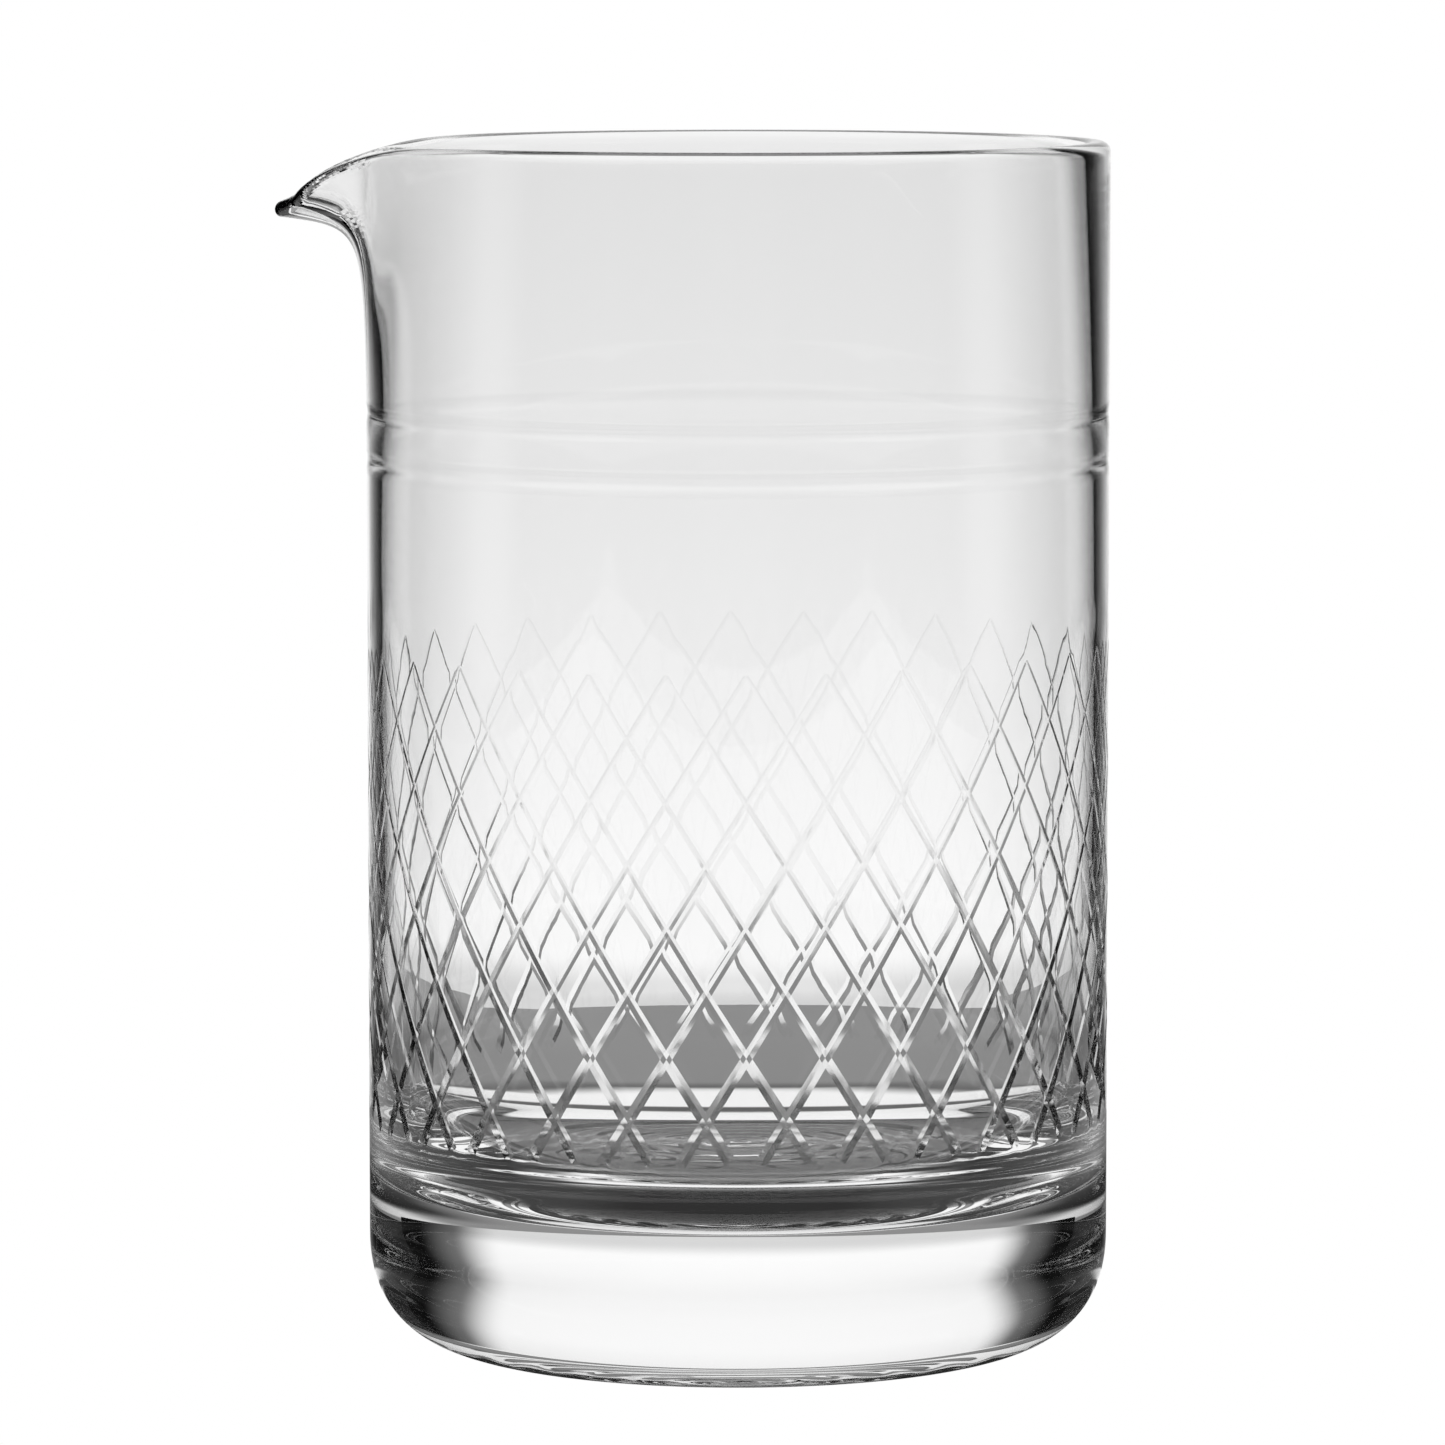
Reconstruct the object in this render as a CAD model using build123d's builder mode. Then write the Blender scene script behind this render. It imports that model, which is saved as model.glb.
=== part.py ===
from build123d import *
import os

# Mixing glass: one piece of clear crystal, with a thick solid base, a straight thin wall, a drawn
# pouring lip, two cut rings and a band of crossing diamond cuts.
# Millimetres, +Z up. The origin is the centre of the flat underside, Z is the axis of the body, and
# the lip points towards -X.

# ---- Driving dimensions: body ----
height = 150.0  # underside to the plane of the rim
body_radius = 46.0  # outside of the straight wall
foot_radius = 13.0  # rounding between the wall and the underside
base_thickness = 18.5  # solid glass under the inside floor
floor_radius = 18.0  # rounding between the inside floor and the wall
wall = 1.8  # thin stretch of the wall
rim_wall = 3.2  # thicker wall at the rim
swell_start_drop = 60.0  # the wall starts to thicken this far below the rim
swell_end_drop = 15.0  # and has its full rim thickness from here up
rim_round = 1.0  # polished edges of the rim

# ---- Driving dimensions: pouring lip ----
lip_reach = 11.4  # how far the tip stands out from the body
lip_drop = 9.0  # underside of the tip, below the plane of the rim
lip_half_width = 19.5  # half of the lip's opening, where it leaves the body
lip_tip_half_width = 5.5  # half of the tip's width
lip_fall = 4.5  # the lip's underside falls this much from its tip back to the wall
lip_thickness = 1.8  # glass under the channel
lip_blend = 8.0  # the wall turns into the lip's underside through this radius
lip_side_lean = 0.15  # how far the lip's sides lean out, for each unit that they rise

# ---- Driving dimensions: cutting ----
ring_drops = (33.4, 39.1)  # the two cut rings, below the plane of the rim
ring_width = 2.2
ring_depth = 0.3
cut_top_drop = 62.0  # upper points of the diamonds, below the plane of the rim
diamonds = 30  # diamonds around the body
row_height = 7.7  # height from one row of crossings to the next
rows = 7.6  # rows that a cut runs through, from its upper point to its lower end
cut_width = 1.4
cut_depth = 0.4
first_point = 1.2  # degrees from the front, -Y, round towards +X, to an upper point

# ---- Derived sizes ----
past = 3.0  # how far a cutting shape runs past what it cuts
bore_radius = body_radius - wall
mouth_radius = body_radius - rim_wall
blank_height = height + past
lip_root_x = -(mouth_radius - lip_blend / 2)  # the lip's sections start inside the wall
lip_root_angle = 36.0  # degrees each side of the lip that its root takes up on the rim
tip_x = -(body_radius + lip_reach)
tip_level = height - lip_drop
channel_level = tip_level + lip_thickness
cut_bottom = height - cut_top_drop - rows * row_height
ring_radius = (ring_width**2 / 4 + ring_depth**2) / (2 * ring_depth)  # of the cutting wheel's edge

# The lip narrows and rises from its root to its tip. At each of these shares of its length, the
# share of its narrowing and the share of its rise.
lip_course = ((0.0, 0.0, 0.0), (0.45, 0.14, 0.38), (0.77, 0.50, 0.68), (1.0, 1.0, 1.0))


def between(start, end, share):
    return start + share * (end - start)


def lip_section(x, half_width, bottom):
    """Across the lip at x: a round-bottomed trough, filled up to the top of the blank."""
    left = (-half_width, blank_height)
    right = (half_width, blank_height)
    with BuildSketch(Plane.YZ.offset(x)) as section:
        with BuildLine():
            Spline(left, (0, bottom), right, tangents=[(lip_side_lean, -1), (lip_side_lean, 1)])
            Line(right, left)
        make_face()
    return section.sketch


# ---- The blank: the outside of the body and of the lip, taller than the rim ----
with BuildPart() as blank:
    with BuildSketch(Plane.XZ) as outside:
        with BuildLine():
            Polyline((0, 0), (body_radius, 0), (body_radius, blank_height), (0, blank_height), close=True)
        make_face()
        fillet(outside.vertices().group_by(Axis.Y)[0].sort_by(Axis.X)[-1], foot_radius)
    revolve(axis=Axis.Z)
    for along, narrowing, rise in lip_course:
        half_width = between(lip_half_width, lip_tip_half_width, narrowing)
        add(lip_section(between(lip_root_x, tip_x, along), half_width, tip_level - (1 - rise) * lip_fall))
    loft()
    under_lip = blank.edges().filter_by(GeomType.BSPLINE).sort_by_distance((-body_radius, 0, tip_level))[0]
    fillet(under_lip, lip_blend)

# ---- The bore: the hollow of the body and the channel of the lip ----
with BuildPart() as bore:
    with BuildSketch(Plane.XZ):
        with BuildLine():
            floor_edge = (bore_radius - floor_radius, base_thickness)
            wall_foot = (bore_radius, base_thickness + floor_radius)
            swell_start = (bore_radius, height - swell_start_drop)
            swell_end = (mouth_radius, height - swell_end_drop)
            Line((0, base_thickness), floor_edge)
            RadiusArc(floor_edge, wall_foot, -floor_radius)
            Line(wall_foot, swell_start)
            Spline(swell_start, swell_end, tangents=[(0, 1), (0, 1)])
            Polyline(swell_end, (mouth_radius, blank_height), (0, blank_height), (0, base_thickness))
        make_face()
    revolve(axis=Axis.Z)
    for along, narrowing, rise in lip_course:
        half_width = between(lip_half_width - rim_wall / 2, lip_tip_half_width / 2, narrowing)
        x = between(lip_root_x + rim_wall, tip_x - past, along)
        add(lip_section(x, half_width, channel_level - (1 - rise) * lip_fall))
    loft()
    throat = bore.edges().filter_by(GeomType.BSPLINE).sort_by_distance((-mouth_radius, 0, tip_level))[0]
    fillet(throat, lip_blend - lip_thickness)

# ---- What is ground off the top: level round the body, dipping along the lip to its tip ----
with BuildPart() as above_rim:
    with BuildSketch(Plane.XZ):
        with BuildLine():
            back = body_radius + past
            beyond = tip_x - past
            clear = blank_height + past
            dip_start = (lip_root_x, height)
            dip_middle = (tip_x + 0.45 * lip_reach, between(height, channel_level, 0.45))
            dip_end = (tip_x, channel_level)
            Line((back, height), dip_start)
            Spline(dip_start, dip_middle, dip_end, tangents=[(-1, 0), (-1, -1)])
            Polyline(dip_end, (beyond, channel_level), (beyond, clear), (back, clear), (back, height))
        make_face()
    extrude(amount=back, both=True)

# ---- The polish of the rim: both edges of the wall rounded, from one side of the lip to the other ----
with BuildPart() as rim_polish:
    with BuildSketch(Plane.XZ.rotated((0, 0, 180 + lip_root_angle))):
        for edge_radius, inward in ((body_radius, -1), (mouth_radius, 1)):
            shoulder = (edge_radius + inward * rim_round, height)
            side = (edge_radius, height - rim_round)
            outer = edge_radius - inward * past
            with BuildLine():
                Polyline(
                    side, (outer, side[1]), (outer, blank_height), (shoulder[0], blank_height), shoulder
                )
                RadiusArc(shoulder, side, -inward * rim_round)
            make_face()
    revolve(axis=Axis.Z, revolution_arc=360 - 2 * lip_root_angle)

# ---- One diamond cut: a V swept up the wall, turning half a diamond with each row ----
with BuildPart() as cut:
    with BuildLine() as run:
        Helix(2 * diamonds * row_height, rows * row_height, body_radius, center=(0, 0, cut_bottom))
    start = run.line @ 0
    with BuildSketch(Plane(start, x_dir=(start.X, start.Y, 0), z_dir=run.line % 0)):
        with BuildLine():
            half_opening = (cut_depth + past) * cut_width / 2 / cut_depth
            Polyline((-cut_depth, 0), (past, half_opening), (past, -half_opening), close=True)
        make_face()
    sweep(path=run.line, is_frenet=True)
counter_cut = mirror(cut.part, about=Plane.XZ)
cut_turn = rows * 180 / diamonds  # how far a cut turns about the body, from end to end
upper_point = first_point - 90

# ---- The glass ----
with BuildPart() as mixing_glass:
    add(blank.part)
    add(bore.part, mode=Mode.SUBTRACT)
    add(above_rim.part, mode=Mode.SUBTRACT)
    add(rim_polish.part, mode=Mode.SUBTRACT)
    with BuildSketch(Plane.XZ):
        with Locations(*[(body_radius + ring_radius - ring_depth, height - drop) for drop in ring_drops]):
            Circle(ring_radius)
    revolve(axis=Axis.Z, mode=Mode.SUBTRACT)
    with PolarLocations(0, diamonds, start_angle=upper_point - cut_turn):
        add(cut.part, mode=Mode.SUBTRACT)
    with PolarLocations(0, diamonds, start_angle=upper_point + cut_turn):
        add(counter_cut, mode=Mode.SUBTRACT)

mixing_glass.part.label = "mixing_glass"
os.makedirs("parts", exist_ok=True)
export_step(mixing_glass.part, "parts/mixing_glass.step")
print("mixing_glass", len(mixing_glass.part.solids()), "solid,", round(mixing_glass.part.volume), "mm3")
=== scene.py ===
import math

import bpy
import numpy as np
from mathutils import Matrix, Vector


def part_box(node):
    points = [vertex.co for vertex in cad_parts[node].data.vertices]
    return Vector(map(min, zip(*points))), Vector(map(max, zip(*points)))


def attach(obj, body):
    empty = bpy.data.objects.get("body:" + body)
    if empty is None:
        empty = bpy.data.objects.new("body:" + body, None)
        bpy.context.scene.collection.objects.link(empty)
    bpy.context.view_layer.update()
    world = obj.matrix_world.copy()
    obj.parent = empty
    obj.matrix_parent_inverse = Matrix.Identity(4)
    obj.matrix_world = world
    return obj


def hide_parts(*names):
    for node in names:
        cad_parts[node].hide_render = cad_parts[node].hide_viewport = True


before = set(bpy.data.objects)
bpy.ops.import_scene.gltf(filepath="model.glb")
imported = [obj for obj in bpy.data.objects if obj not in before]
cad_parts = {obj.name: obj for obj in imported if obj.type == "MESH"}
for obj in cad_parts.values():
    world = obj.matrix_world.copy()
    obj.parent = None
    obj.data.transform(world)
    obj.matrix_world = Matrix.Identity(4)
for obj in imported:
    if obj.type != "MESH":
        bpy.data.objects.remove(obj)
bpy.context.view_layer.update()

# %% [markdown]
# # A cut-crystal mixing glass
# The real object is one piece of clear glass: a straight body on a thick base, a pulled pour lip, two rings
# cut under it and a band of diamonds cut round the lower half. Nothing is joined on, so this lesson makes one
# closed mesh. It is modelled flat, like a strip of cloth with a pattern in it, and then rolled up.

MM = 0.001
low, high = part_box("mixing_glass")
body_radius = high.x / MM
height = high.z / MM
print("body radius", round(body_radius, 2), "mm, height", round(height, 2), "mm")

# %% [markdown]
# ## Sizes
# The frame gives the two sizes that must not change, the radius and the height. Everything else is a named
# size in millimetres. Glass bends light so strongly that the thickness of the wall and the roundings of the
# base decide more of the look than the outline does.

# %% Sizes of the wall, base, rim and lip, in millimetres
thin_wall = 1.8
rim_wall = 3.2
lip_wall_thickness = 2.1
heel_swell = 1.3  # how much thicker the wall gets where it meets the base
base_thickness = 18.5
floor_round = 18.0  # inside corner between wall and floor
foot_round = 14.5
foot_power = 0.87  # below 1 the foot's curve starts more gently than a quarter circle
outer_round = 1.3
inner_round = 1.2
lip_root = 118.5  # where the lip starts to lean out
lip_corner = 139.3  # where its curve turns outwards
ring_levels = (110.9, 116.6)
ring_half = 1.1
ring_depth = 0.12
print("inside depth", height - base_thickness, "mm, rings at", ring_levels)

# %% Sizes of the cut diamonds
diamonds = 30
row_height = 7.7  # mm, half the height of a diamond
cut_rows = 9
top_level = 88.0  # mm, the upper points
first_point = 1.2  # degrees between the front and the nearest upper point
squares = 10  # along one side of a diamond
groove_share = 0.1  # half the width of a groove, as a share of a diamond's side
step_round = 360 / diamonds
low_level = top_level - (cut_rows - 1) * row_height
print("band of diamonds from", round(low_level, 1), "to", top_level, "mm")

# %% [markdown]
# ## Working in edit mode from code
# Operators act on whatever is selected, as they do under the mouse. These helpers read and write the points
# of a mesh, enter edit mode on one object only, and select points by where they are.

# %% Helpers for points and selection


def points(mesh_object):
    flat = np.zeros(len(mesh_object.data.vertices) * 3, np.float32)
    mesh_object.data.vertices.foreach_get("co", flat)
    return flat.reshape(-1, 3).astype(float)


def put_points(mesh_object, places):
    mesh_object.data.vertices.foreach_set("co", places.astype(np.float32).ravel())
    mesh_object.data.update()


def edit(mesh_object):
    bpy.ops.object.select_all(action="DESELECT")
    bpy.context.view_layer.objects.active = mesh_object
    mesh_object.select_set(True)
    bpy.ops.object.mode_set(mode="EDIT")


def pick(mesh_object, chosen_by, edges=False):
    """Selects, in edit mode, the points that chosen_by says yes to, or the edges between them."""
    bpy.ops.mesh.select_all(action="DESELECT")
    bpy.ops.object.mode_set(mode="OBJECT")
    mesh_object.data.vertices.foreach_set("select", chosen_by(points(mesh_object)))
    bpy.ops.object.mode_set(mode="EDIT")
    bpy.ops.mesh.select_mode(type="VERT")
    if edges:
        bpy.ops.mesh.select_mode(type="EDGE")


def whole(mesh_object, operator, **settings):
    """Runs one edit-mode operator on the whole mesh."""
    bpy.ops.mesh.select_all(action="SELECT")
    operator(**settings)


# %% [markdown]
# ## One diamond
# A diamond's four sides are grooves ground by a wheel, and its middle is left as plain polished wall. One
# diamond is a grid of squares: the outer squares are the groove's slopes and the rest is the plain middle.
# Grinding is the same all round the glass, so one diamond is made and two Array modifiers repeat it.

# %% A square grid with narrow outer squares


def line_place(number):
    """How far across a diamond grid line number lies, from 0 to 1."""
    if number in (0, squares):
        return number / squares
    return groove_share + (number - 1) / (squares - 2) * (1 - 2 * groove_share)


bpy.ops.mesh.primitive_grid_add(x_subdivisions=squares, y_subdivisions=squares, size=1)
glass = bpy.context.object
glass.name = "cut_glass"
diamond = points(glass)
line_numbers = np.rint((diamond[:, :2] + 0.5) * squares).astype(int)
line_places = np.array([line_place(number) for number in range(squares + 1)])
diamond[:, 0] = line_places[line_numbers[:, 0]]
diamond[:, 1] = line_places[line_numbers[:, 1]] - 1
put_points(glass, diamond)
print("one diamond has", len(glass.data.polygons), "squares")

# %% [markdown]
# Where two grooves cross, their slopes meet on a mitre, like the corner of a picture frame. Each corner
# square gets that mitre as an edge from its outer to its inner corner.

# %% Mitres in the four corner squares
edit(glass)
for corner_x, corner_y in ((0, 0), (1, 0), (0, 1), (1, 1)):
    inner_x = abs(corner_x - groove_share)
    inner_y = abs(corner_y - groove_share)
    mitre = np.array([(corner_x, corner_y - 1), (inner_x, inner_y - 1)])
    pick(glass, lambda p: (np.abs(p[:, None, :2] - mitre[None]).sum(2) < 1e-4).any(1))
    bpy.ops.mesh.vert_connect()
bpy.ops.object.mode_set(mode="OBJECT")
print("with mitres", len(glass.data.polygons), "faces")

# %% [markdown]
# The grid's two directions are the two slanting directions of the cuts. Turning them into degrees round the
# glass (x) and millimetres up it (y) stands the square on its point as a tall diamond.

# %% Repeating the diamond round and down
diamond = points(glass)
along_a, along_b = diamond[:, 0].copy(), diamond[:, 1].copy()
diamond[:, 0] = step_round / 2 * (along_a + along_b)
diamond[:, 1] = top_level + row_height - row_height * (along_a - along_b)
put_points(glass, diamond)

for name, count, offset in (
    ("around", diamonds, (step_round, 0, 0)),
    ("down", cut_rows, (step_round / 2, -row_height, 0)),
):
    repeat = glass.modifiers.new(name, "ARRAY")
    repeat.use_relative_offset = False
    repeat.use_constant_offset = True
    repeat.constant_offset_displace = offset
    repeat.count = count
bpy.ops.object.modifier_apply(modifier="around")
bpy.ops.object.modifier_apply(modifier="down")
print("sheet of diamonds", len(glass.data.polygons), "faces")

# %% [markdown]
# The sheet has a zigzag edge above and below. Bisect trims both straight, so that plain rows can be extruded
# from them.

# %% Trimming the sheet
edit(glass)
whole(glass, bpy.ops.mesh.remove_doubles, threshold=1e-3)
trim = {"plane_no": (0, 1, 0), "threshold": 1e-3}
whole(glass, bpy.ops.mesh.bisect, plane_co=(0, top_level, 0), clear_outer=True, **trim)
whole(glass, bpy.ops.mesh.bisect, plane_co=(0, low_level, 0), clear_inner=True, **trim)
bpy.ops.object.mode_set(mode="OBJECT")
print("trimmed sheet", len(glass.data.polygons), "faces")

# %% [markdown]
# ## What each plain row becomes
# Above the diamonds the sheet runs up the outside, over the rim, down the inside and in to the middle of the
# floor. Below them it runs down, round the foot and in to the middle of the underside. Each row gets a
# function that says where it lies on the glass: radius, height and direction for every point.

# %% Wall thickness and gentle unevenness


def wall_thickness(level):
    towards_rim = np.clip((level - 95) / 55, 0, 1)
    towards_base = np.clip((70 - level) / 33.5, 0, 1)
    return thin_wall + (rim_wall - thin_wall) * towards_rim**1.6 + heel_swell * towards_base**2


def unevenness(angle, level, size, seed):
    """The slow swelling that hot glass keeps when it is worked by hand."""
    draw = np.random.default_rng(seed)
    total = 0 * angle
    for turns, climb in ((1, 0.6), (2, 1.3), (3, 0.8), (5, 1.9), (4, 2.6)):
        swing = np.sin(turns * angle + climb * level / 25 + draw.uniform(0, 6.28))
        total = total + swing * draw.uniform(0.4, 1) / turns**0.5
    return size * total / 2.2


heel_wall = float(wall_thickness(base_thickness + floor_round))
floor_radius = body_radius - heel_wall - floor_round
print("wall at the heel", round(heel_wall, 2), "mm, flat floor radius", round(floor_radius, 2), "mm")

# %% [markdown]
# ### The pour lip
# A glassmaker pulls the lip out of the soft rim with a rod. It reaches out and sinks a little, and both fade
# away round the rim. A bell curve gives the wide pull, and a second, narrow one gives the small nose at the
# tip. Seen from the side the wall follows a cubic curve from upright to leaning out.

# %% How far the lip reaches and sinks


def bell(turn, width, power):
    return 1 / (1 + np.abs(turn / width) ** power)


def nose(turn):
    return np.exp(-((turn / 3.0) ** 2))


def lip_reach(turn):
    return 9.0 * bell(turn, 13.8, 5) + 2.2 * nose(turn)


def lip_drop(turn):
    return 7.0 * bell(turn, 12.3, 3.5) + 0.8 * nose(turn)


print("lip reaches", round(float(lip_reach(0)), 1), "mm and sinks", round(float(lip_drop(0)), 1), "mm")

# %% The outside of the wall through the lip


def cubic(start, first_pull, second_pull, end, t):
    s = 1 - t
    return s**3 * start + 3 * s * s * t * first_pull + 3 * s * t * t * second_pull + t**3 * end


def outer_wall(turn, t):
    """The outside at share t of the way from the root of the lip to the rim, as x, y, z."""
    reach = lip_reach(turn)
    bend_radius = body_radius + 0.04 * reach
    radius = cubic(body_radius, bend_radius, bend_radius, body_radius + 0.93 * reach, t)
    level = cubic(lip_root, lip_corner, lip_corner, height - outer_round - 1.04 * lip_drop(turn), t)
    angle = np.radians(turn + 180)
    return np.stack((radius * np.cos(angle), radius * np.sin(angle), level + 0 * turn), 1)


# %% [markdown]
# The inside of the lip is the outside moved square to itself by the thickness of the wall. Moving it straight
# inwards instead would pinch the glass where it leans out. The cross product of two directions on the
# surface gives the direction square to it.

# %% Thickness measured square to the surface


def unit(vectors):
    return vectors / np.linalg.norm(vectors, axis=1, keepdims=True)


def lip_section(turn, t):
    """A point on the outside, the directions square out of it and past the rim, and the thickness."""
    here = outer_wall(turn, t)
    along = outer_wall(turn + 0.05, t) - outer_wall(turn - 0.05, t)
    upward = outer_wall(turn, min(t + 0.004, 1)) - outer_wall(turn, max(t - 0.004, 0))
    out = unit(np.cross(along, upward))
    past = unit(np.cross(out, along))
    pulled = np.clip(lip_reach(turn) / 11.4, 0, 1) * t
    thickness = wall_thickness(here[:, 2]) * (1 - pulled) + lip_wall_thickness * pulled
    return here, out, past, thickness[:, None]


def polar(place):
    return np.hypot(place[:, 0], place[:, 1]), place[:, 2], np.arctan2(place[:, 1], place[:, 0])


tip = lip_section(np.zeros(1), 1.0)
print("lip tip at x", round(float(tip[0][0, 0]), 1), "mm, thickness", round(float(tip[3][0, 0]), 2), "mm")

# %% Rows of the outside, lip and fire-polished rim


def outside_row(level, turn, angle):
    radius = body_radius + 0 * turn
    for ring in ring_levels:
        off = abs(level - ring) / ring_half
        if off < 1:
            radius = radius - ring_depth * math.cos(off * math.pi / 2)
    return radius, level + 0 * turn, angle


def outer_lip_row(t, turn, angle):
    return polar(lip_section(turn, t)[0])


def roundings(thickness):
    """The radii of the rim's outer and inner edge, smaller where the wall is thin."""
    return np.minimum(outer_round, 0.45 * thickness), np.minimum(inner_round, 0.55 * thickness)


def outer_edge_row(share, turn, angle):
    place, out, past, thickness = lip_section(turn, 1.0)
    outer, inner = roundings(thickness)
    bend = share * math.pi / 2
    return polar(place + out * outer * (math.cos(bend) - 1) + past * outer * math.sin(bend))


def flat_top_row(share, turn, angle):
    place, out, past, thickness = lip_section(turn, 1.0)
    outer, inner = roundings(thickness)
    return polar(place - out * (outer + thickness - inner) * share + past * outer)


def inner_edge_row(share, turn, angle):
    place, out, past, thickness = lip_section(turn, 1.0)
    outer, inner = roundings(thickness)
    bend = share * math.pi / 2
    inwards = out * (thickness - inner + inner * math.cos(bend))
    return polar(place - inwards + past * (outer - inner + inner * math.sin(bend)))


def inner_lip_row(t, turn, angle):
    place, out, past, thickness = lip_section(turn, t)
    outer, inner = roundings(thickness)
    lowered = past * (inner - outer) * max(t - 0.9, 0) / 0.1
    return polar(place - out * thickness - lowered)


# %% [markdown]
# ### Inside, floor and foot
# The inside runs down into a wide rounded corner, so that a bar spoon can turn in it. The floor keeps faint
# rings where the glass settled in its mould, and they show as curved streaks of light through the wall. The
# foot's curve is a superellipse, which starts gently and leaves no line where it meets the wall.

# %% Rows of the inside, floor, foot and underside


def inside_row(level, turn, angle):
    radius = body_radius - wall_thickness(level) + 0 * turn
    return radius + unevenness(angle, level + 0 * turn, 0.03, 3), level + 0 * turn, angle


def floor_corner_row(share, turn, angle):
    bend = share * math.pi / 2
    radius = body_radius - heel_wall - floor_round * (1 - math.cos(bend)) + 0 * turn
    level = base_thickness + floor_round * (1 - math.sin(bend)) + 0 * turn
    return radius + unevenness(angle, level, 0.03, 3), level, angle


def floor_row(share, turn, angle):
    radius = floor_radius * share + 0 * turn
    settled = radius + unevenness(angle, 0, 0.8, 5)
    ripple = 0.10 * np.cos(settled * 2 * math.pi / 4.4) * min(1, (1 - share) * 9)
    return radius, base_thickness + ripple, angle


def foot_row(share, turn, angle):
    bend = share * math.pi / 2
    radius = body_radius - foot_round * (1 - max(math.cos(bend), 0) ** foot_power)
    level = foot_round * (1 - math.sin(bend) ** foot_power)
    return radius + 0 * turn, level + 0 * turn, angle


def under_row(share, turn, angle):
    return (body_radius - foot_round) * share + 0 * turn, 0 * turn, angle


# %% [markdown]
# ### The list of rows
# Curved places get many close rows and straight ones few. The whole mesh has to stay under 200,000
# triangles, so rows are spent where light bends most: in the rings, the lip, the inside corner and the foot.

# %% Rows above and below the diamonds


def rows_of(shape, values):
    return [(shape, value) for value in values]


rows_above = rows_of(outside_row, (92, 96, 100, 105, 109))
for ring in ring_levels:
    rows_above += rows_of(outside_row, [ring - ring_half + k * ring_half / 4 for k in range(9)])
    rows_above += rows_of(outside_row, [ring + ring_half + 0.35])
rows_above += rows_of(outer_lip_row, np.linspace(0, 1, 27))
rows_above += rows_of(outer_edge_row, (0.15, 0.3, 0.45, 0.6, 0.75, 0.88, 1))
rows_above += rows_of(flat_top_row, [0.5])
rows_above += rows_of(inner_edge_row, (1, 0.84, 0.68, 0.52, 0.36, 0.18))
rows_above += rows_of(inner_lip_row, np.linspace(1, 0, 27))
rows_above += rows_of(inside_row, (112, 105, 98, 91, 84, 77, 70, 63, 56, 50, 45, 41, 38))
rows_above += rows_of(floor_corner_row, np.linspace(0, 1, 22))
rows_above += rows_of(floor_row, np.linspace(1, 0, 37)[1:])
rows_below = rows_of(outside_row, (24, 21, 18, 16))
rows_below += rows_of(foot_row, np.linspace(0, 1, 29))
rows_below += rows_of(under_row, (0.9, 0.78, 0.64, 0.5, 0.36, 0.22, 0.1, 0))
bands = ((rows_above, top_level, 1), (rows_below, low_level, -1))
print(len(rows_above), "rows above the diamonds,", len(rows_below), "below")

# %% [markdown]
# On the flat sheet every row is simply extruded one unit further from the edge. Its number tells the rolling
# step which function to use.

# %% Extruding the rows
edit(glass)
for rows, edge_level, direction in bands:
    pick(glass, lambda p: np.abs(p[:, 1] - edge_level) < 1e-2, edges=True)
    for row in rows:
        bpy.ops.mesh.extrude_edges_move(TRANSFORM_OT_translate={"value": (0, direction, 0)})
bpy.ops.object.mode_set(mode="OBJECT")
print("flat sheet", len(glass.data.vertices), "points", len(glass.data.polygons), "faces")

# %% [markdown]
# ## Three finishes on one piece
# Ground grooves are polished less brightly than blown glass, so their slopes get a material of their own, and
# the rings a third. Faces are told apart now, while the sheet is flat and their middles are easy to read.

# %% Telling grooves and rings from plain glass
sheet = points(glass)
corners = np.zeros(len(glass.data.loops), int)
glass.data.loops.foreach_get("vertex_index", corners)
starts = np.zeros(len(glass.data.polygons), int)
glass.data.polygons.foreach_get("loop_start", starts)
corner_counts = np.diff(np.append(starts, len(corners)))
middles = np.add.reduceat(sheet[corners], starts) / corner_counts[:, None]


def slanting_places(turn, level):
    """The same place counted in diamonds along the two slanting directions of the cuts."""
    down = (top_level - level) / (2 * row_height)
    return turn / step_round + down, turn / step_round - down


def from_line(place):
    return np.abs(place - np.rint(place))


middle_a, middle_b = slanting_places(middles[:, 0], middles[:, 1])
in_band = (middles[:, 1] > 29.3) & (middles[:, 1] < top_level)
in_groove = in_band & (np.minimum(from_line(middle_a), from_line(middle_b)) < groove_share)
ring_rows = [
    number
    for number, (shape, value) in enumerate(rows_above, 1)
    if shape is outside_row and min(abs(value - ring) for ring in ring_levels) < ring_half + 0.02
]
in_ring = np.isin(np.rint(middles[:, 1] - top_level + 0.5), ring_rows)
finishes = in_groove.astype(int)
finishes[in_ring] = 2
for name in ("clear_crystal", "cut_facets", "ring_cut"):
    glass.data.materials.append(bpy.data.materials.new(name))
glass.data.polygons.foreach_set("material_index", finishes)
print("groove faces", int(in_groove.sum()), "ring faces", int(in_ring.sum()))

# %% [markdown]
# ## Cutting the grooves
# The wheel goes deepest at the bottom and lifts towards the top, so the grooves grow shallower and narrower
# upwards. A hand-guided wheel never lands twice on quite the same line, and each line is moved by a tiny
# random amount, drawn from a fixed seed so that the glass is the same every time.

# %% Width, depth and wander of the grooves
wander = np.random.default_rng(7).normal(0, 0.008, (2, diamonds + 1))
wander[:, diamonds] = wander[:, 0]


def groove_width(level):
    return np.interp(level, (low_level, 45, 65, top_level), (1.0, 0.72, 0.45, 0.3))


def groove_depth(level):
    return np.interp(level, (29.0, 30.5, 45, 65, 86.5, top_level), (0, 0.30, 0.19, 0.10, 0.05, 0.03))


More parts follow.
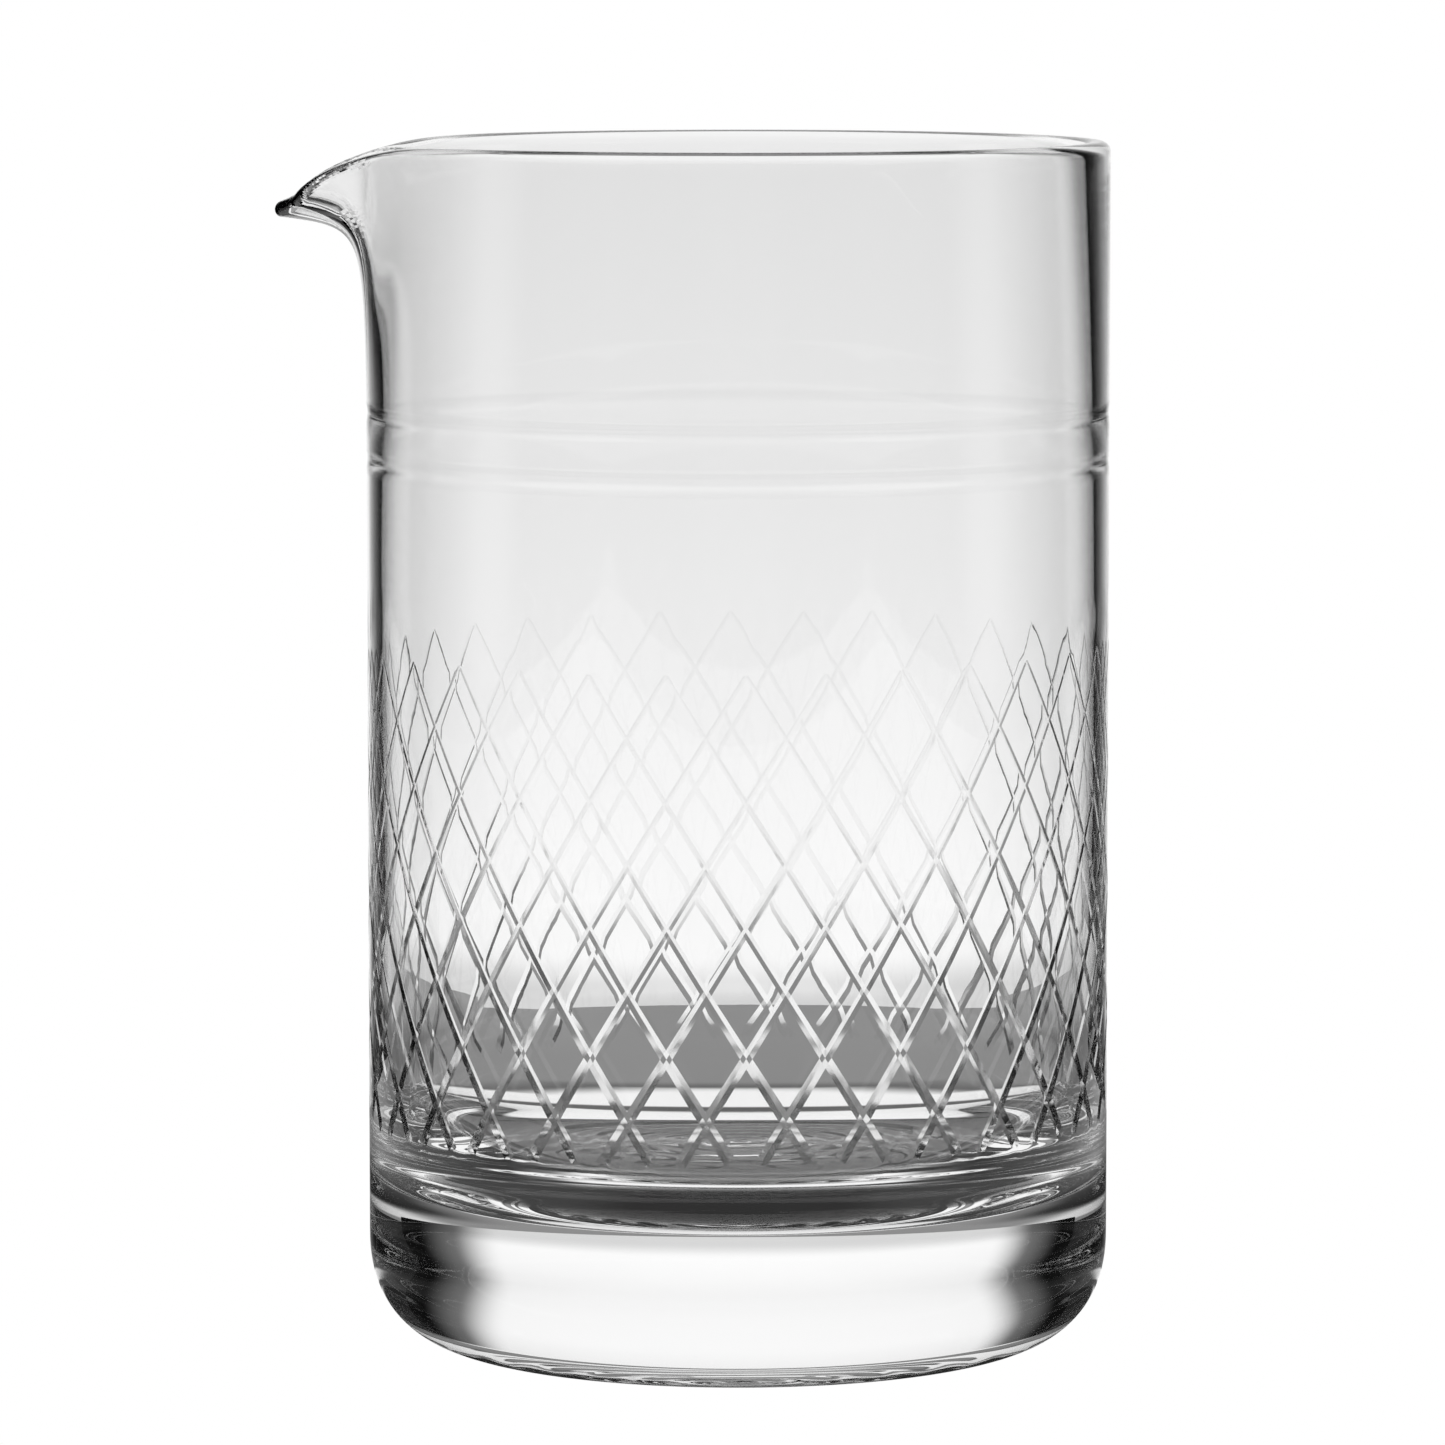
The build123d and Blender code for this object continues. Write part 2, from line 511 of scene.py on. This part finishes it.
def narrowed(place, width):
    """Moves grid lines towards the groove's middle line, to make the groove as narrow as it should be."""
    off = from_line(place)
    plain = 0.5 - (0.5 - off) * (0.5 - groove_share * width) / (0.5 - groove_share)
    return np.rint(place) + np.sign(place - np.rint(place)) * np.where(off < groove_share, off * width, plain)


def wandering(place, direction):
    return place + np.interp(np.mod(place, diamonds), np.arange(diamonds + 1), wander[direction])


print("largest wander", round(float(np.abs(wander).max() * step_round), 2), "degrees")

# %% [markdown]
# ## Rolling up
# The flat sheet becomes the glass in one step. Points in the band of diamonds go to the outside of the wall,
# sunk where they lie on a groove's middle line. Every other row goes where its function says.

# %% Rolling the sheet


def roll(sheet):
    turn, level = sheet[:, 0].copy(), sheet[:, 1].copy()
    radius = np.full(len(level), body_radius)
    rise = level.copy()
    in_diamonds = (level > low_level - 0.5) & (level < top_level + 0.5)
    a, b = slanting_places(turn, level)
    on_middle_line = np.minimum(from_line(a), from_line(b)) < 1e-3
    width = groove_width(level)
    a, b = wandering(narrowed(a, width), 0), wandering(narrowed(b, width), 1)
    radius = np.where(in_diamonds, body_radius - groove_depth(level) * on_middle_line, radius)
    rise = np.where(in_diamonds, top_level - row_height * (a - b), rise)
    turn = np.where(in_diamonds, step_round / 2 * (a + b), turn)
    angle = np.radians(turn + first_point - 90)
    rise = np.where(in_diamonds, rise + 0.5 * np.cos(angle), rise)
    from_lip = np.degrees(np.arctan2(np.sin(angle - math.pi), np.cos(angle - math.pi)))
    for rows, edge_level, direction in bands:
        row_numbers = np.rint((level - edge_level) * direction).astype(int)
        for number, (shape, value) in enumerate(rows, 1):
            here = (row_numbers == number) & ~in_diamonds
            radius[here], rise[here], angle[here] = shape(value, from_lip[here], angle[here])
    return np.stack((radius * np.cos(angle), radius * np.sin(angle), rise), 1) * MM


put_points(glass, roll(sheet))
print("rolled to", [round(side, 4) for side in glass.dimensions])

# %% [markdown]
# Rolling brings the sheet's two ends together and gathers the last rows at the middle of the floor and of the
# underside. Merging closes them into one watertight skin, and then the normals can be turned outwards.

# %% Closing the skin
edit(glass)
whole(glass, bpy.ops.mesh.remove_doubles, threshold=3e-6)
whole(glass, bpy.ops.mesh.normals_make_consistent, inside=False)
bpy.ops.object.mode_set(mode="OBJECT")
bpy.ops.object.shade_smooth_by_angle(angle=math.radians(22))
triangles = sum(len(face.vertices) - 2 for face in glass.data.polygons)
print("closed skin", len(glass.data.vertices), "points", triangles, "triangles")

# %% [markdown]
# Smooth shading hides the grid, but it would also melt the grooves into soft dents. Their edges are much
# flatter than the 22 degrees above, so in the band of diamonds every bend over 4 degrees is marked sharp.

# %% Crisp edges on the grooves
edit(glass)
bpy.ops.mesh.select_mode(type="EDGE")
bpy.ops.mesh.select_all(action="DESELECT")
bpy.ops.mesh.edges_select_sharp(sharpness=math.radians(4))
bpy.ops.object.mode_set(mode="OBJECT")
crisp = np.zeros(len(glass.data.edges), bool)
glass.data.edges.foreach_get("select", crisp)
edge_ends = np.zeros(len(glass.data.edges) * 2, int)
glass.data.edges.foreach_get("vertices", edge_ends)
rolled = points(glass) / MM
from_axis = np.hypot(rolled[:, 0], rolled[:, 1])
in_cut_zone = (rolled[:, 2] > 26) & (rolled[:, 2] < 89) & (from_axis > body_radius - 0.6)
crisp &= in_cut_zone[edge_ends.reshape(-1, 2)].all(1)
glass.data.edges.foreach_set("select", crisp)
edit(glass)
bpy.ops.mesh.mark_sharp()
bpy.ops.object.mode_set(mode="OBJECT")
print("sharp edges", int(crisp.sum()))

# %% [markdown]
# ## Shader maths as expressions
# Some of the lights below change from place to place, which takes chains of Math nodes. The class Wire wraps
# one socket, so that 1 - mask adds the right node by itself. Its node method makes any other node.

# %% The Wire class


class Wire:
    tree = None

    def __init__(self, socket):
        self.socket = socket

    @classmethod
    def node(cls, kind, settings=None, **sockets):
        """Adds a node. Settings come first, then socket values or wires, named, or i0, i1 ... by number."""
        made = cls.tree.nodes.new(kind)
        for key, value in (settings or {}).items():
            setattr(made, key, value)
        for key, value in sockets.items():
            numbered = key[0] == "i" and key[1:].isdigit()
            target = made.inputs[int(key[1:])] if numbered else made.inputs[key.replace("_", " ")]
            if isinstance(value, Wire):
                cls.tree.links.new(value.socket, target)
            else:
                target.default_value = value
        return made

    def __add__(self, other):
        return maths("ADD", self, other)

    def __radd__(self, other):
        return maths("ADD", other, self)

    def __sub__(self, other):
        return maths("SUBTRACT", self, other)

    def __rsub__(self, other):
        return maths("SUBTRACT", other, self)

    def __mul__(self, other):
        return maths("MULTIPLY", self, other)

    def __rmul__(self, other):
        return maths("MULTIPLY", other, self)

    def __truediv__(self, other):
        return maths("DIVIDE", self, other)


def maths(operation, *values):
    sockets = {f"i{number}": value for number, value in enumerate(values)}
    return Wire(Wire.node("ShaderNodeMath", {"operation": operation}, **sockets).outputs[0])


def smooth(value, start, end):
    """0 below start, 1 above end, and an easy S between them."""
    eased = {"interpolation_type": "SMOOTHSTEP"}
    return Wire(Wire.node("ShaderNodeMapRange", eased, Value=value, From_Min=start, From_Max=end).outputs[0])


def three_parts(vector):
    apart = Wire.node("ShaderNodeSeparateXYZ", i0=vector)
    return [Wire(apart.outputs[number]) for number in range(3)]


print("operators ready")

# %% [markdown]
# ## The glass materials
# Clear glass is full transmission, an index of refraction of 1.52 and no roughness. The ground slopes are a
# touch grey and soft, and the shallow rings lie between the two.

# %% Clear crystal, cut facets and ring cut
glass_index = 1.52
for name, tone, softness in (
    ("clear_crystal", 1.0, 0.0),
    ("cut_facets", 0.93, 0.12),
    ("ring_cut", 0.97, 0.06),
):
    finish = bpy.data.materials[name]
    finish.use_nodes = True
    shader = finish.node_tree.nodes["Principled BSDF"]
    shader.inputs["Base Color"].default_value = (tone, tone, tone, 1)
    shader.inputs["Roughness"].default_value = softness
    shader.inputs["IOR"].default_value = glass_index
    shader.inputs["Transmission Weight"].default_value = 1.0
    print(name, "tone", tone, "roughness", softness)
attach(glass, "root")
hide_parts("mixing_glass")

# %% [markdown]
# ## The studio
# Clear glass has hardly any look of its own: it shows what stands round it. A studio puts a bright card behind
# it and keeps the sides dark, which draws dark lines down both edges. The floor and the room that the camera
# sees directly are plain white, and never seen through the glass.

# %% White floor
bpy.ops.mesh.primitive_plane_add(size=8, location=(0, 0, -0.0002))
floor = bpy.context.object
floor.name = "floor"
pale = bpy.data.materials.new("pale_floor")
pale.use_nodes = True
Wire.tree = pale.node_tree
Wire.tree.nodes.clear()
white_light = Wire.node("ShaderNodeEmission", Color=(1, 1, 1, 1), Strength=1.0)
Wire.node("ShaderNodeOutputMaterial", Surface=Wire(white_light.outputs[0]))
floor.data.materials.append(pale)
floor.visible_transmission = False
floor.visible_glossy = False
floor.visible_diffuse = False
print("floor", [round(side, 1) for side in floor.dimensions])

# %% [markdown]
# The room is white for the camera and nearly black for everything else. Two dim cards at the sides light the
# glass from left and right, but only along rays that have passed through it.

# %% The room
DEGREE = math.pi / 180
world = bpy.data.worlds.new("studio")
bpy.context.scene.world = world
world.use_nodes = True
Wire.tree = world.node_tree
Wire.tree.nodes.clear()
facing_x, facing_y, facing_z = three_parts(Wire(Wire.node("ShaderNodeTexCoord").outputs["Generated"]))
light_path = Wire.node("ShaderNodeLightPath")
seen_directly = Wire(light_path.outputs["Is Camera Ray"])
through_glass = Wire(light_path.outputs["Is Transmission Ray"])
elevation = maths("ARCSINE", facing_z) / DEGREE
from_side = maths("ARCCOSINE", maths("ABSOLUTE", facing_x)) / DEGREE
side_cards = 0.4 * (1 - smooth(from_side, 6, 16)) * (1 - smooth(elevation, 2, 12)) * through_glass
dim = 0.015 + side_cards
room = Wire.node("ShaderNodeBackground", Color=dim + seen_directly * (1 - dim), Strength=1.0)
Wire.node("ShaderNodeOutputWorld", Surface=Wire(room.outputs[0]))
print("room made of", len(Wire.tree.nodes), "nodes")

# %% [markdown]
# What shows through the glass is a table and a backdrop that glow with a tone that changes from place to
# place. A narrow bright ring of table just behind the foot is painted light, a caustic such as the glass would
# throw, and it lights up the thick base. Under the glass and close beside it the table has a painted shadow of
# the glass, which gets lighter further away.

# %% Tone of the table, from the place on it in millimetres


def table_tone(x, y, z):
    far = maths("SQRT", x * x + y * y)
    aside = maths("ABSOLUTE", x)
    just_behind = smooth(y, 20, 35)
    # painted light: bright caustic rings on the table just behind the foot, such as the glass would throw
    foot_glow = smooth(far, 49, 50) * (1 - smooth(far, 58, 59.5)) * just_behind
    outer_glow = smooth(far, 62, 63.5) * (1 - smooth(far, 70, 73)) * just_behind
    # painted shadow: dark (0.02) under the foot, with the painted rings of light added
    painted_shadow_and_rings = 0.02 + 0.98 * foot_glow + 0.1 * smooth(far, 58, 59.5) + 0.9 * outer_glow
    # painted shadow of the glass on the table behind it: 0.27 straight behind, 0.02 to the sides
    painted_glass_shadow = 0.02 + 0.25 * (1 - smooth(aside, 45, 80))
    open_table = 0.27 + 0.5 * smooth(aside, 90, 150) * (1 - smooth(far, 300, 420))
    tone = painted_glass_shadow + smooth(far, 150, 190) * (open_table - painted_glass_shadow)
    through_glass = Wire(Wire.node("ShaderNodeLightPath").outputs["Is Transmission Ray"])
    front_light = 0.35 * (1 - smooth(y, -120, -40)) * smooth(far, 130, 190) * through_glass
    tone = tone + front_light * (1 - tone)
    return painted_shadow_and_rings + smooth(far, 72, 77) * (tone - painted_shadow_and_rings)


# %% [markdown]
# The backdrop is brightest in the middle and falls off to both sides, which gives the glass its dark edges.
# It also falls off upwards, and has painted shade, a little darker, where it meets the table.

# %% Tone of the backdrop


def backdrop_tone(x, y, z):
    aside = maths("ABSOLUTE", x + 6 - 0.05 * z)
    sideways = 0.8 * (1 - smooth(aside, 80, 120)) + 0.2 * (1 - smooth(aside, 98, 175))
    # painted shade: the backdrop is darker low down, where it meets the table
    painted_shade_at_table = 0.68 + 0.32 * smooth(z, 3, 13)
    return sideways * painted_shade_at_table * maths("MAXIMUM", 1.07 - 0.00123 * z, 0.3)


# %% Table and backdrop
for name, width, depth, place, tilt, tone in (
    ("table_seen_through", 1.6, 1.6, (0, 0, -0.0001), 0, table_tone),
    ("backdrop_seen_through", 0.44, 0.35, (0, 0.2, 0.175), 90, backdrop_tone),
):
    bpy.ops.mesh.primitive_plane_add(size=1, location=(0, 0, 0))
    card = bpy.context.object
    card.name = name
    bpy.ops.object.mode_set(mode="EDIT")
    bpy.ops.transform.resize(value=(width, depth, 1))
    if tilt:
        bpy.ops.transform.rotate(value=math.radians(tilt), orient_axis="X", center_override=(0, 0, 0))
    bpy.ops.transform.translate(value=place)
    bpy.ops.object.mode_set(mode="OBJECT")
    glow = bpy.data.materials.new(name)
    glow.use_nodes = True
    Wire.tree = glow.node_tree
    Wire.tree.nodes.clear()
    here = three_parts(Wire(Wire.node("ShaderNodeTexCoord").outputs["Object"]))
    light = Wire.node("ShaderNodeEmission", Color=tone(*[part * 1000 for part in here]), Strength=1.0)
    Wire.node("ShaderNodeOutputMaterial", Surface=Wire(light.outputs[0]))
    card.data.materials.append(glow)
    card.visible_camera = False
    card.visible_diffuse = False
    print(name, [round(side, 3) for side in card.dimensions])

# %% [markdown]
# ## Camera
# The camera stands about a metre away and looks slightly down, so that both the front and the back of the rim
# show. A long lens from a distance keeps the sides of the glass nearly parallel.

# %% Camera and view
distance = 1.07
camera_height = 0.184
look_height = 0.075
view_width = 0.17973  # how much of the world fits across the view, at the glass
sensor = 36
back = math.sqrt(distance**2 - (camera_height - look_height) ** 2)
lens = bpy.data.cameras.new("camera")
lens.sensor_width = sensor
lens.lens = sensor * distance / view_width
lens.shift_x = -0.01073
lens.shift_y = 0.01543
camera = bpy.data.objects.new("camera", lens)
bpy.context.scene.collection.objects.link(camera)
camera.location = (0, -back, camera_height)
camera.rotation_euler = (math.pi / 2 - math.atan2(camera_height - look_height, back), 0, 0)
scene = bpy.context.scene
scene.camera = camera
print("lens", round(lens.lens, 1), "mm")

# %% [markdown]
# Light crosses many surfaces in thick glass, so the rays are allowed many bounces. With too few, the base
# would fill with black.

# %% Bounces and view transform
scene.view_settings.view_transform = "Standard"
scene.cycles.max_bounces = 32
scene.cycles.transmission_bounces = 32
scene.cycles.glossy_bounces = 16
